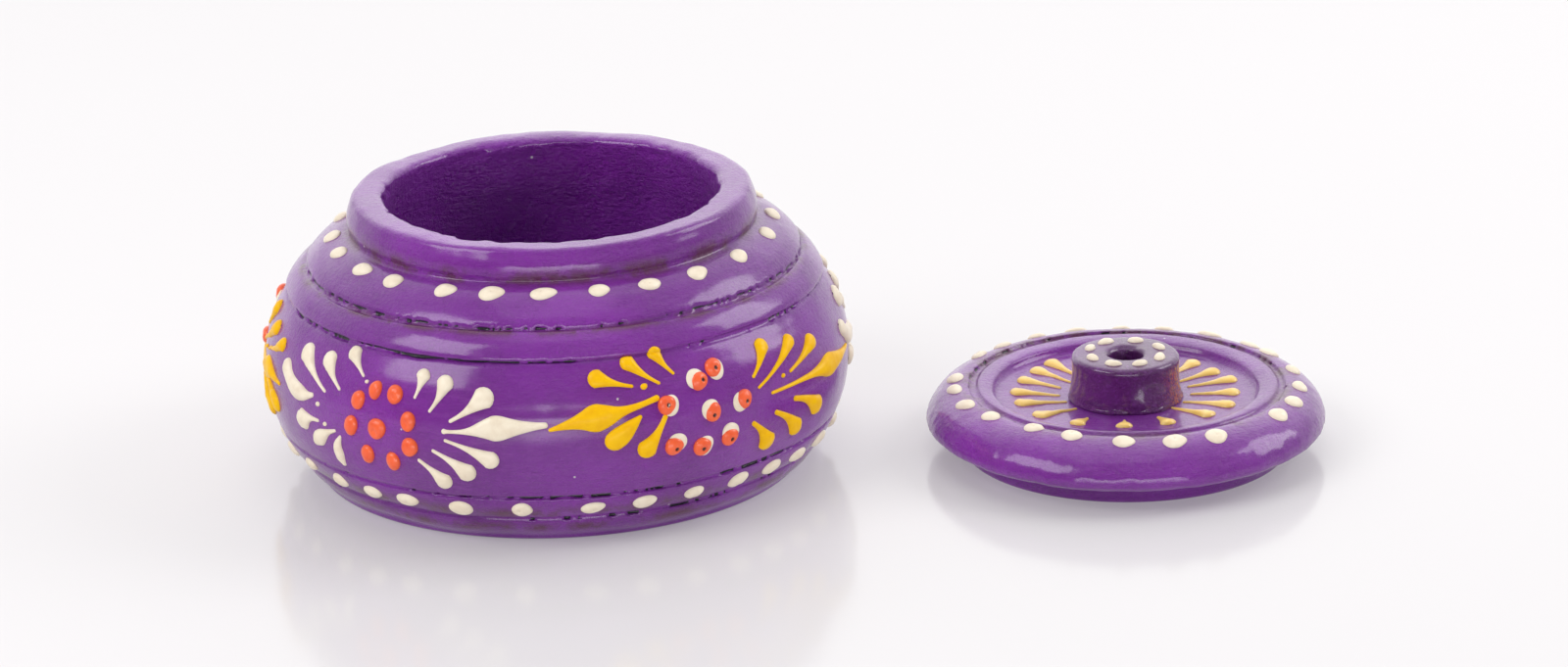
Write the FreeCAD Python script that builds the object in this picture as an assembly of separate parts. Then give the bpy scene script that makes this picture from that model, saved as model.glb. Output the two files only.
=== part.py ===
import FreeCAD, Part
import math
import os

# A hand-turned clay oil lamp: a squat pot with an open mouth, and its lid standing beside it.
# Millimetres, +Z up. The origin is the centre of the pot's base, on the surface that it stands on.
# Azimuth 0 is the front of the pot (-Y), and it grows towards +X.

# --- pot -----------------------------------------------------------------------------------
BELLY_R = 50.0             # widest radius of the pot
BELLY_Z = 18.2             # height of the widest circle
BELLY_CURVE = 23.7         # radius of the belly's side, seen in section
BASE_R = 41.8              # flat base
FOOT_TOP = (45.4, 4.7)     # (radius, height) of the groove above the plain foot band
BEAD_LOW = (45.7, 5.2)     # band that carries the lower row of dots
BEAD_MID = (47.2, 7.3)
BEAD_TOP = (48.3, 9.4)
BELLY_LOW_Z = 9.9          # the belly's side starts here
BELLY_TOP_Z = 31.8         # and ends here, at the second groove
RIDGE_LOW = (45.7, 32.4)   # band between the two upper grooves
RIDGE_MID = (44.7, 34.7)
RIDGE_TOP = (42.7, 36.4)
SHOULDER_LOW = (42.3, 36.9)  # shoulder, from the first groove up to the neck
SHOULDER_MID = (38.9, 40.4)
SHOULDER_TOP = (34.9, 42.0)
GROOVE_DEPTH = 0.7         # turned grooves, cut square to the surface
NECK_R = 34.6              # outside of the neck, just above the shoulder
RIM_R = 33.7               # outside of the neck, at the top
RIM_Z = 47.7               # top of the rim
MOUTH_R = 28.8             # mouth
RIM_ROUND = 0.9            # rounded edges of the rim
NECK_INSIDE_Z = 41.0       # the mouth's upright wall ends here, and the well widens a little
WELL_SIDE = (31.5, 20.0)   # (radius, height) where the well's wall turns in towards its floor
WELL_FLOOR = (20.0, 6.5)   # edge of its flat floor
WELL_ROUND = 3.9           # how far the turn stands off its chord

# --- lid -----------------------------------------------------------------------------------
LID_X = 97.4               # the lid lies to the right of the pot, a little to the front
LID_Y = -4.6
SPIGOT_R = 28.1            # lower step of the lid, which drops into the mouth
SPIGOT_H = 4.0
LIP_R = 30.4               # where the lip's rounded edge starts, under the lid
LIP_ROUND = 6.1            # large radius of the lip's upper side
LIP_Z = 5.2                # height of the lid's widest circle
LIP_UNDER = 0.6            # how far the lip's underside stands off its chord
LID_R = 34.3               # widest radius of the lid
RING_R = 27.0              # flat ring inside the lid's groove
RING_Z = 11.2
PANEL_R = 22.3             # sunk panel around the knob
PANEL_Z = 9.6
KNOB_R = 9.3
KNOB_FOOT_R = 9.7
KNOB_SEAT_Z = 9.0          # the knob is luted on here
KNOB_TOP_Z = 17.0
KNOB_ROUND = 0.8
HOLE_R = 3.0               # wick hole, down through the knob and the lid

# --- raised paint --------------------------------------------------------------------------
PAINT = 0.7                # height of a piped stroke
THICK_PAINT = 1.1          # height of an orange dot
DOT_R = 1.9
SHOULDER_DOT_PLACE = (37.6, 41.1)  # (radius, height)
SHOULDER_DOT_LEAN = 68     # how far the surface leans back from upright there, in degrees
FOOT_DOT_LEAN = -30
MOTIF_AZIMUTHS = [-34, 32, 110, 160, 210, 260]  # cream and yellow motifs take turns
MOTIF_Z = 21.0
CREAM_RING_DOTS = 8        # orange dots in a cream motif's ring, with one more at its centre
YELLOW_RING_DOTS = 7       # and in a yellow motif's ring
RING_DOT_R = 1.7
MOTIF_RING = 6.2
LID_DOT_R = 1.8
LID_DOT_CIRCLE = 30.2
LID_STROKE_R = 1.3         # head radius
KNOB_DOT_R = 1.15
KNOB_DOT_CIRCLE = 6.4
FLAT = 90                  # the lean of a flat surface
STAMP_DEPTH = 8            # length of the prisms that cut the strokes out of a thin skin

# Rows of dots and strokes, each as (how many, azimuths of the hand-placed ones at the front). The
# others are spread evenly over the rest of the circle.
SHOULDER_DOTS = (24, [-102, -85, -71, -55, -42, -26, -13, 0, 14, 28, 42, 58, 77, 94, 113])
FOOT_DOTS = (33, [-60, -49, -39, -30, -18, -6, 8, 19, 30, 40, 50, 59, 69])
LID_DOTS = (22, [-139, -127, -103, -91, -76, -59, -40, -24, -6, 11, 27, 56, 70, 84, 101, 119, 129, 147])
LID_STROKES = (19, [-142, -128, -111, -92, -75, -54, -31, -5, 20, 44, 62, 81, 101, 117, 134])
KNOB_DOTS = (8, [-154, -113, -67, -25, 19, 63, 109, 158])

# The strokes of one motif, as (direction, tail distance, head distance, head radius), seen from
# outside and measured from the motif's centre. A direction of 0 runs to the right, 90 runs up.
STROKES = [
    (20, 14.5, 20.5, 2.0),
    (35, 11.0, 15.5, 1.9),
    (52, 9.8, 13.0, 1.8),
    (-10, 13.5, 20.5, 1.9),
    (-20, 11.5, 17.0, 1.8),
    (-33, 9.6, 14.2, 1.7),
    (128, 9.2, 13.6, 1.7),
    (144, 10.7, 16.3, 1.8),
    (158, 14.0, 21.0, 1.9),
    (188, 13.8, 18.5, 1.7),
    (199, 10.5, 15.0, 1.6),
    (216, 9.2, 12.4, 1.5),
]
# The two spears, as (direction, tail distance, half width). Each is widest at SPEAR_WIDEST of the
# way out to its tip, and its tip is SPEAR_GAP short of the line half-way to the next motif.
SPEARS = [(5, 13.3, 2.1), (176, 13.0, 2.0)]
SPEAR_WIDEST = 0.72
SPEAR_GAP = 0.4

X_AXIS = FreeCAD.Vector(1, 0, 0)
Z_AXIS = FreeCAD.Vector(0, 0, 1)
ORIGIN = FreeCAD.Vector(0, 0, 0)


def point(radius, height):
    """A point of a section, in the XZ plane."""
    return FreeCAD.Vector(radius, 0, height)


def line(a, b):
    return Part.LineSegment(point(*a), point(*b)).toShape()


def arc(a, middle, b):
    return Part.Arc(point(*a), point(*middle), point(*b)).toShape()


def turned(edges):
    """The solid that a closed section makes when it turns once about the Z axis."""
    return Part.Face(Part.Wire(edges)).revolve(ORIGIN, Z_AXIS, 360)


def middle_of(a, b, bulge):
    """A point beside the middle of a-b, bulge to the right of the way from a to b."""
    dr, dz = b[0] - a[0], b[1] - a[1]
    length = math.hypot(dr, dz)
    return ((a[0] + b[0]) / 2 + dz / length * bulge, (a[1] + b[1]) / 2 - dr / length * bulge)


def groove(a, b):
    """A turned groove from a to b: a small arc into the clay."""
    return arc(a, middle_of(a, b, -GROOVE_DEPTH), b)


def belly_point(height, outside=0.0):
    """The belly's section at a height, or a little outside it."""
    lift = (height - BELLY_Z) / BELLY_CURVE
    reach = BELLY_CURVE + outside
    return (BELLY_R - BELLY_CURVE + reach * math.sqrt(1 - lift * lift), BELLY_Z + reach * lift)


def circle_through(a, b, c):
    """Centre and radius of the section arc through three points."""
    curve = arc(a, b, c).Curve
    return (curve.Center.x, curve.Center.z), curve.Radius


# --- pot and lid ---------------------------------------------------------------------------
def pot_body():
    belly_low, belly_mid, belly_top = (belly_point(z) for z in (BELLY_LOW_Z, BELLY_Z, BELLY_TOP_Z))
    rim_low = (RIM_R, RIM_Z - RIM_ROUND)
    rim_outer = (RIM_R - RIM_ROUND, RIM_Z)
    rim_inner = (MOUTH_R + RIM_ROUND, RIM_Z)
    mouth_top = (MOUTH_R, RIM_Z - RIM_ROUND)
    mouth_low = (MOUTH_R, NECK_INSIDE_Z)
    edges = [
        line((0, 0), (BASE_R, 0)),
        arc((BASE_R, 0), middle_of((BASE_R, 0), FOOT_TOP, 0.6), FOOT_TOP),
        groove(FOOT_TOP, BEAD_LOW),
        arc(BEAD_LOW, BEAD_MID, BEAD_TOP),
        groove(BEAD_TOP, belly_low),
        arc(belly_low, belly_mid, belly_top),
        groove(belly_top, RIDGE_LOW),
        arc(RIDGE_LOW, RIDGE_MID, RIDGE_TOP),
        groove(RIDGE_TOP, SHOULDER_LOW),
        arc(SHOULDER_LOW, SHOULDER_MID, SHOULDER_TOP),
        line(SHOULDER_TOP, (NECK_R, SHOULDER_TOP[1])),
        arc((NECK_R, SHOULDER_TOP[1]), middle_of((NECK_R, SHOULDER_TOP[1]), rim_low, 0.3), rim_low),
        arc(rim_low, middle_of(rim_low, rim_outer, RIM_ROUND * 0.2), rim_outer),
        line(rim_outer, rim_inner),
        arc(rim_inner, middle_of(rim_inner, mouth_top, RIM_ROUND * 0.2), mouth_top),
        line(mouth_top, mouth_low),
        line(mouth_low, WELL_SIDE),
        arc(WELL_SIDE, middle_of(WELL_SIDE, WELL_FLOOR, -WELL_ROUND), WELL_FLOOR),
        line(WELL_FLOOR, (0, WELL_FLOOR[1])),
        line((0, WELL_FLOOR[1]), (0, 0)),
    ]
    return turned(edges)


def lid_groove_edges():
    """The lip's inner edge and the ring's outer edge, with the groove between them."""
    return (LID_R - LIP_ROUND, LIP_Z + LIP_ROUND), (RING_R, RING_Z)


def lid_disc():
    lip_inner, ring_outer = lid_groove_edges()
    lip_side = (LID_R, LIP_Z)
    lip_low = (LIP_R, SPIGOT_H)
    lip_middle = (LID_R - LIP_ROUND * (1 - math.sqrt(0.5)), LIP_Z + LIP_ROUND * math.sqrt(0.5))
    ring_inner = (PANEL_R + 0.7, RING_Z - 0.4)
    panel_edge = (PANEL_R, PANEL_Z)
    edges = [
        line((HOLE_R, 0), (SPIGOT_R - 0.5, 0)),
        line((SPIGOT_R - 0.5, 0), (SPIGOT_R, 0.5)),
        line((SPIGOT_R, 0.5), (SPIGOT_R, SPIGOT_H)),
        line((SPIGOT_R, SPIGOT_H), lip_low),
        arc(lip_low, middle_of(lip_low, lip_side, LIP_UNDER), lip_side),
        arc(lip_side, lip_middle, lip_inner),
        groove(lip_inner, ring_outer),
        arc(ring_outer, middle_of(ring_outer, ring_inner, 0.15), ring_inner),
        arc(ring_inner, middle_of(ring_inner, panel_edge, -0.2), panel_edge),
        line(panel_edge, (KNOB_FOOT_R, KNOB_SEAT_Z)),
        line((KNOB_FOOT_R, KNOB_SEAT_Z), (HOLE_R, KNOB_SEAT_Z)),
        line((HOLE_R, KNOB_SEAT_Z), (HOLE_R, 0)),
    ]
    return turned(edges)


def lid_knob():
    shoulder = (KNOB_R, KNOB_TOP_Z - KNOB_ROUND)
    top = (KNOB_R - KNOB_ROUND, KNOB_TOP_Z)
    edges = [
        line((HOLE_R, KNOB_SEAT_Z), (KNOB_FOOT_R, KNOB_SEAT_Z)),
        arc((KNOB_FOOT_R, KNOB_SEAT_Z), (KNOB_R + 0.1, KNOB_SEAT_Z + 1.2), (KNOB_R, KNOB_SEAT_Z + 3.0)),
        line((KNOB_R, KNOB_SEAT_Z + 3.0), shoulder),
        arc(shoulder, middle_of(shoulder, top, KNOB_ROUND * 0.2), top),
        line(top, (HOLE_R, KNOB_TOP_Z)),
        line((HOLE_R, KNOB_TOP_Z), (HOLE_R, KNOB_SEAT_Z)),
    ]
    return turned(edges)


# --- raised paint --------------------------------------------------------------------------
def skin_on_arc(a, middle, b, thickness):
    """A thin skin that lies on the surface which the section arc a-middle-b sweeps."""
    centre, radius = circle_through(a, middle, b)

    def lifted(p):
        grow = (radius + thickness) / radius
        return (centre[0] + (p[0] - centre[0]) * grow, centre[1] + (p[1] - centre[1]) * grow)

    outer = [lifted(p) for p in (a, middle, b)]
    return turned([arc(a, middle, b), line(b, outer[2]), arc(*reversed(outer)), line(outer[0], a)])


def skin_on_line(a, b, thickness):
    """A thin skin on the surface which the section line a-b sweeps; b is nearer to the axis."""
    dr, dz = b[0] - a[0], b[1] - a[1]
    length = math.hypot(dr, dz)
    lift = (dz / length * thickness, -dr / length * thickness)
    a_out, b_out = ((p[0] + lift[0], p[1] + lift[1]) for p in (a, b))
    return turned([line(a, b), line(b, b_out), line(b_out, a_out), line(a_out, a)])


def stamp(outline, radius, height, azimuth, tilt):
    """A prism through the surface at a place on the pot. Its outline's x runs to the right and
    its y runs up the surface; tilt is how far the surface leans back from upright, in degrees."""
    prism = Part.Face(outline).extrude(FreeCAD.Vector(0, 0, STAMP_DEPTH))
    prism.translate(FreeCAD.Vector(0, 0, -STAMP_DEPTH / 2))
    prism.rotate(ORIGIN, X_AXIS, 90 - tilt)
    prism.translate(FreeCAD.Vector(0, -radius, height))
    prism.rotate(ORIGIN, Z_AXIS, azimuth)
    return prism


def round_outline(radius, x=0.0, y=0.0):
    return Part.Wire(Part.Circle(FreeCAD.Vector(x, y, 0), Z_AXIS, radius).toShape())


def drop_outline(length, head_r, tail_r=0.35):
    """A piped drop along x: its tail at -length/2, and its round head centred on +length/2."""
    lean = math.asin((head_r - tail_r) / length)
    half = length / 2

    def at(centre, radius, angle):
        return FreeCAD.Vector(centre + radius * math.cos(angle), radius * math.sin(angle), 0)

    upper = math.pi / 2 + lean
    head_up, tail_up = at(half, head_r, upper), at(-half, tail_r, upper)
    head_down, tail_down = at(half, head_r, -upper), at(-half, tail_r, -upper)
    return Part.Wire([
        Part.LineSegment(tail_down, head_down).toShape(),
        Part.Arc(head_down, at(half, head_r, 0), head_up).toShape(),
        Part.LineSegment(head_up, tail_up).toShape(),
        Part.Arc(tail_up, at(-half, tail_r, math.pi), tail_down).toShape(),
    ])


def spear_outline(tail, widest, tip, half_width):
    """A pointed leaf along x, from its tail to its tip."""
    ends = [FreeCAD.Vector(tail, 0, 0), FreeCAD.Vector(tip, 0, 0)]
    sides = [FreeCAD.Vector(widest, side * half_width, 0) for side in (-1, 1)]
    return Part.Wire([
        Part.Arc(ends[0], sides[0], ends[1]).toShape(),
        Part.Arc(ends[1], sides[1], ends[0]).toShape(),
    ])


def turn_outline(outline, degrees):
    outline.rotate(ORIGIN, Z_AXIS, degrees)
    return outline


def pieces_of(skin, stamps, without=()):
    """One solid for each stamp: the part of the skin inside it."""
    solids = []
    for prism in stamps:
        piece = skin.common(prism)
        for other in without:
            piece = piece.cut(other)
        solids.extend(piece.Solids)
    return Part.makeCompound(solids)


def azimuths_of(count, placed):
    """The azimuths of a whole row: the placed ones, and the rest spread over what's left."""
    rest = count - len(placed)
    step = (placed[0] + 360 - placed[-1]) / (rest + 1)
    return placed + [placed[-1] + step * (i + 1) for i in range(rest)]


def shoulder_dots():
    skin = skin_on_arc(SHOULDER_LOW, SHOULDER_MID, SHOULDER_TOP, PAINT)
    stamps = [stamp(round_outline(DOT_R), *SHOULDER_DOT_PLACE, azimuth, SHOULDER_DOT_LEAN)
              for azimuth in azimuths_of(*SHOULDER_DOTS)]
    return pieces_of(skin, stamps)


def foot_dots():
    skin = skin_on_arc(BEAD_LOW, BEAD_MID, BEAD_TOP, PAINT)
    stamps = [stamp(round_outline(DOT_R), *BEAD_MID, azimuth, FOOT_DOT_LEAN)
              for azimuth in azimuths_of(*FOOT_DOTS)]
    return pieces_of(skin, stamps)


def on_belly(across, up, azimuth):
    """Radius, height, azimuth and tilt of the belly's surface at a distance across and up from
    the centre of the motif at an azimuth."""
    start = math.asin((MOTIF_Z - BELLY_Z) / BELLY_CURVE)
    angle = start + up / BELLY_CURVE
    radius = BELLY_R - BELLY_CURVE * (1 - math.cos(angle))
    height = BELLY_Z + BELLY_CURVE * math.sin(angle)
    return radius, height, azimuth + math.degrees(across / BELLY_R), math.degrees(angle)


def belly_skin(thickness):
    low, middle, top = (belly_point(z) for z in (BELLY_LOW_Z, BELLY_Z, BELLY_TOP_Z))
    return skin_on_arc(low, middle, top, thickness)


def half_gaps(number):
    """How far it is from a motif's centre to half-way to the next motif, on its right and left."""
    here = MOTIF_AZIMUTHS[number]
    right = (MOTIF_AZIMUTHS[(number + 1) % len(MOTIF_AZIMUTHS)] - here) % 360
    left = (here - MOTIF_AZIMUTHS[number - 1]) % 360
    return [math.radians(gap) / 2 * BELLY_R for gap in (right, left)]


def motif_strokes(number):
    """The prisms of the drops and spears of one motif."""
    azimuth = MOTIF_AZIMUTHS[number]
    stamps = []
    for direction, tail, head, head_r in STROKES:
        middle = (tail + head) / 2
        angle = math.radians(direction)
        place = on_belly(middle * math.cos(angle), middle * math.sin(angle), azimuth)
        stamps.append(stamp(turn_outline(drop_outline(head - tail, head_r), direction), *place))
    for (direction, tail, half_width), half_gap in zip(SPEARS, half_gaps(number)):
        angle = math.radians(direction)
        tip = (half_gap - SPEAR_GAP) / abs(math.cos(angle))
        widest = tip * SPEAR_WIDEST
        place = on_belly(widest * math.cos(angle), widest * math.sin(angle), azimuth)
        outline = spear_outline(tail - widest, 0, tip - widest, half_width)
        stamps.append(stamp(turn_outline(outline, direction), *place))
    return stamps


def motif_dots(number, ring_dots, right=0.0, down=0.0):
    """The prisms of a motif's ring of dots and its centre dot, each shifted a little."""
    azimuth = MOTIF_AZIMUTHS[number]
    radius = RING_DOT_R
    stamps = [stamp(round_outline(radius, right, -down), *on_belly(0, 0, azimuth))]
    for i in range(ring_dots):
        angle = 2 * math.pi * (i + 0.5) / ring_dots
        place = on_belly(MOTIF_RING * math.cos(angle), MOTIF_RING * math.sin(angle), azimuth)
        stamps.append(stamp(round_outline(radius, right, -down), *place))
    return stamps


def motifs(first):
    """Every second motif: the cream ones from 0, the yellow ones from 1."""
    return range(first, len(MOTIF_AZIMUTHS), 2)


def strokes_of_motifs(first):
    stamps = [prism for number in motifs(first) for prism in motif_strokes(number)]
    return pieces_of(belly_skin(PAINT), stamps)


def plain_orange_dots():
    stamps = [prism for number in motifs(0) for prism in motif_dots(number, CREAM_RING_DOTS)]
    return pieces_of(belly_skin(THICK_PAINT), stamps)


def double_dots():
    """The yellow motifs' dots: orange dots, each set a little off a cream dot that was piped
    first, so that a cream crescent shows."""
    orange, cream = [], []
    for number in motifs(1):
        tops = motif_dots(number, YELLOW_RING_DOTS, 0.5, 0.35)
        bases = motif_dots(number, YELLOW_RING_DOTS, -0.15, 0.0)
        orange.extend(pieces_of(belly_skin(THICK_PAINT), tops).Solids)
        for top, base in zip(tops, bases):
            cream.extend(pieces_of(belly_skin(PAINT), [base], [top]).Solids)
    return Part.makeCompound(orange), Part.makeCompound(cream)


def lid_rim_dots():
    centre = (LID_R - LIP_ROUND, LIP_Z)
    low, middle, top = ((centre[0] + LIP_ROUND * math.cos(a), centre[1] + LIP_ROUND * math.sin(a))
                        for a in (math.radians(d) for d in (30, 60, 89)))
    skin = skin_on_arc(low, middle, top, PAINT)
    height = LIP_Z + math.sqrt(LIP_ROUND ** 2 - (LID_DOT_CIRCLE - centre[0]) ** 2)
    lean = math.degrees(math.acos((LID_DOT_CIRCLE - centre[0]) / LIP_ROUND))
    stamps = [stamp(round_outline(LID_DOT_R), LID_DOT_CIRCLE, height, azimuth, lean)
              for azimuth in azimuths_of(*LID_DOTS)]
    return pieces_of(skin, stamps)


def lid_strokes():
    """Yellow strokes on the lid's panel, with their heads outwards."""
    skin = skin_on_line((PANEL_R, PANEL_Z), (KNOB_FOOT_R, KNOB_SEAT_Z), PAINT)
    tail, head = KNOB_FOOT_R + 1.6, PANEL_R - 3.4
    stamps = []
    for azimuth in azimuths_of(*LID_STROKES):
        outline = turn_outline(drop_outline(head - tail, LID_STROKE_R), -90)
        stamps.append(stamp(outline, (tail + head) / 2, PANEL_Z, azimuth, FLAT))
    return pieces_of(skin, stamps)


def knob_dots():
    skin = skin_on_line((KNOB_R - KNOB_ROUND, KNOB_TOP_Z), (HOLE_R, KNOB_TOP_Z), PAINT * 0.7)
    stamps = [stamp(round_outline(KNOB_DOT_R), KNOB_DOT_CIRCLE, KNOB_TOP_Z, azimuth, FLAT)
              for azimuth in azimuths_of(*KNOB_DOTS)]
    return pieces_of(skin, stamps)


def on_table(shape):
    """Moves a shape of the lid from the Z axis to where the lid lies."""
    shape.translate(FreeCAD.Vector(LID_X, LID_Y, 0))
    return shape


def main():
    os.makedirs("parts", exist_ok=True)
    orange_over, cream_under = double_dots()
    nodes = {
        "pot_body": pot_body(),
        "shoulder_dots": shoulder_dots(),
        "foot_dots": foot_dots(),
        "cream_petals": strokes_of_motifs(0),
        "orange_dots": plain_orange_dots(),
        "yellow_petals": strokes_of_motifs(1),
        "cream_under_dots": cream_under,
        "orange_over_dots": orange_over,
        "lid_disc": on_table(lid_disc()),
        "lid_knob": on_table(lid_knob()),
        "lid_rim_dots": on_table(lid_rim_dots()),
        "lid_strokes": on_table(lid_strokes()),
        "knob_dots": on_table(knob_dots()),
    }
    for name, shape in nodes.items():
        shape.exportStep(f"parts/{name}.step")
        print(name, len(shape.Solids), "solids", round(shape.Volume), "mm3", shape.isValid())


main()
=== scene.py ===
import math

import bpy
import numpy as np
from mathutils import Matrix, Vector


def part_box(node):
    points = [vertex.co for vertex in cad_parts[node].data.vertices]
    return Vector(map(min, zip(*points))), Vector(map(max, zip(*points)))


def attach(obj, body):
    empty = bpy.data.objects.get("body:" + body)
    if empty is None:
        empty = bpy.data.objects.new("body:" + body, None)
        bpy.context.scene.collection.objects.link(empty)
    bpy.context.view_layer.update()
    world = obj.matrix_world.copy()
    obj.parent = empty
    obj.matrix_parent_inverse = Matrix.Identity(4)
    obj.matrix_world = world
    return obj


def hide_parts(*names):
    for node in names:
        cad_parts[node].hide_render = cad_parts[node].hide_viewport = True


# A hand-turned, hand-painted clay oil lamp: a squat pot, and its lid lying beside it.
# Sections and strokes are in millimetres; the meshes are in metres, in the frame of the CAD.
# Azimuth 0 is the front (-Y) and grows towards +X. "along" runs along a section, in mm.

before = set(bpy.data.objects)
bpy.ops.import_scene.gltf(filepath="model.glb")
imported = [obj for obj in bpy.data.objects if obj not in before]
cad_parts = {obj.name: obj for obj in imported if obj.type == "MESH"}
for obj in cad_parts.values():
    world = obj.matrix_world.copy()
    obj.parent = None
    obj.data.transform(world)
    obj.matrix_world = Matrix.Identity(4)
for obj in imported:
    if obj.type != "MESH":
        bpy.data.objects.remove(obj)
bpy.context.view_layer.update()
MM = 0.001


def middle_of(node):
    low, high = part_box(node)
    return (low + high) / 2


POT_CENTRE = np.array([0.0, 0.0])
LID_CENTRE = np.array(middle_of("lid_disc"))[:2] / MM
POT_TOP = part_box("pot_body")[1].z / MM
BELLY_R = (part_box("pot_body")[1].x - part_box("pot_body")[0].x) / 2 / MM
LID_R = (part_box("lid_disc")[1].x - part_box("lid_disc")[0].x) / 2 / MM
KNOB_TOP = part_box("lid_knob")[1].z / MM

# --- sizes, as in the CAD ------------------------------------------------------------------
BELLY_Z = 18.2
BELLY_CURVE = 23.7
BASE_R = 41.8
FOOT_TOP = (45.4, 4.7)
BEAD_LOW = (45.7, 5.2)
BEAD_TOP = (48.3, 9.4)
BELLY_LOW_Z = 9.9
BELLY_TOP_Z = 31.8
RIDGE_LOW = (45.7, 32.4)
RIDGE_TOP = (42.7, 36.4)
SHOULDER_LOW = (42.3, 36.9)
SHOULDER_TOP = (34.9, 42.0)
GROOVE_DEPTH = 0.7
NECK_R = 34.6
RIM_R = 33.7
MOUTH_R = 28.8
NECK_INSIDE_Z = 41.0
WELL_SIDE = (31.5, 20.0)
WELL_FLOOR = (20.0, 6.5)
WELL_ROUND = 3.9     # how far the turn from wall to floor stands off its chord
SPIGOT_R = 28.1
SPIGOT_H = 4.0
LIP_R = 30.4
LIP_ROUND = 6.1
LIP_Z = 5.2
LIP_UNDER = 0.6       # how far the lip's underside stands off its chord
RING = (27.0, 11.2)
PANEL = (22.3, 9.6)
KNOB_R = 9.3
KNOB_FOOT_R = 9.7
KNOB_SEAT_Z = 9.0
HOLE_R = 3.0

# --- camera --------------------------------------------------------------------------------
CAMERA_AT = (39.0, -719.2, 267.0)  # mm
CAMERA_PITCH = 18.92               # degrees below the horizon
CAMERA_ROLL = -1.53                # degrees
CAMERA_LENS = 101.4                # mm, on a 36 mm sensor

FINE = 0.16    # spacing of a section's points at grooves and edges, mm
MEDIUM = 0.55
COARSE = 1.6


# --- smooth noise --------------------------------------------------------------------------
class Noise:
    """Smooth noise from -1 to 1 at any point, the same in each run."""

    CELLS = 24

    def __init__(self, seed):
        shape = (self.CELLS,) * 3
        self.grid = np.random.default_rng(seed).uniform(-1, 1, shape)

    def __call__(self, points, lump):
        scaled = np.asarray(points, float) / lump
        cell = np.floor(scaled).astype(int)
        part = scaled - cell
        part = part * part * (3 - 2 * part)
        total = np.zeros(scaled.shape[:-1])
        for corner in np.ndindex(2, 2, 2):
            index = (cell + corner) % self.CELLS
            weight = np.prod(np.where(corner, part, 1 - part), axis=-1)
            total += weight * self.grid[index[..., 0], index[..., 1], index[..., 2]]
        return total


def smooth_step(low, high, value):
    t = np.clip((value - low) / (high - low), 0, 1)
    return t * t * (3 - 2 * t)


def hump(value, centre, width):
    return np.exp(-(((value - centre) / width) ** 2))


# --- sections ------------------------------------------------------------------------------
class Section:
    """Points of a section in (radius, height), with the places along it that have a name."""

    def __init__(self, start):
        self.points = [np.array(start, float)]
        self.marks = {}
        self.length = 0.0

    def _add(self, points):
        for p in points:
            self.length += float(np.linalg.norm(p - self.points[-1]))
            self.points.append(p)

    def line_to(self, end, step=MEDIUM):
        start, end = self.points[-1], np.array(end, float)
        count = max(1, round(float(np.linalg.norm(end - start)) / step))
        self._add([start + (end - start) * i / count for i in range(1, count + 1)])

    def arc_to(self, end, bulge, step=MEDIUM):
        """An arc that stands off its chord by bulge, to the right of the way along it."""
        start, end = self.points[-1], np.array(end, float)
        chord = end - start
        half = np.linalg.norm(chord) / 2
        side = math.copysign(1.0, bulge)
        rise = abs(bulge)
        right = np.array([chord[1], -chord[0]]) / (2 * half)
        radius = (half * half + rise * rise) / (2 * rise)
        centre = (start + end) / 2 - right * side * (radius - rise)
        sweep = side * 2 * math.atan2(half, radius - rise)
        count = max(2, round(abs(radius * sweep) / step))
        angles = [sweep * i / count for i in range(1, count + 1)]
        turns = [np.array([[math.cos(a), -math.sin(a)], [math.sin(a), math.cos(a)]]) for a in angles]
        self._add([centre + turn @ (start - centre) for turn in turns])

    def groove_to(self, end, name, depth=GROOVE_DEPTH):
        here = self.length
        self.arc_to(end, -depth, FINE)
        self.marks[name] = (here + self.length) / 2

    def mark(self, name):
        self.marks[name] = self.length

    def softened(self, passes):
        """The points, with their sharp corners worn round."""
        points = np.array(self.points)
        for _ in range(passes):
            blurred = points.copy()
            blurred[1:-1] = (points[:-2] + 2 * points[1:-1] + points[2:]) / 4
            points = blurred
        return points


def sagitta(a, b, radius):
    """How far an arc of this radius stands off its chord from a to b."""
    half = math.dist(a, b) / 2
    return radius - math.sqrt(radius * radius - half * half)


def belly_at(height):
    """The point of the belly's round outside at a height."""
    lift = (height - BELLY_Z) / BELLY_CURVE
    return (BELLY_R - BELLY_CURVE * (1 - math.sqrt(1 - lift * lift)), height)


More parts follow.
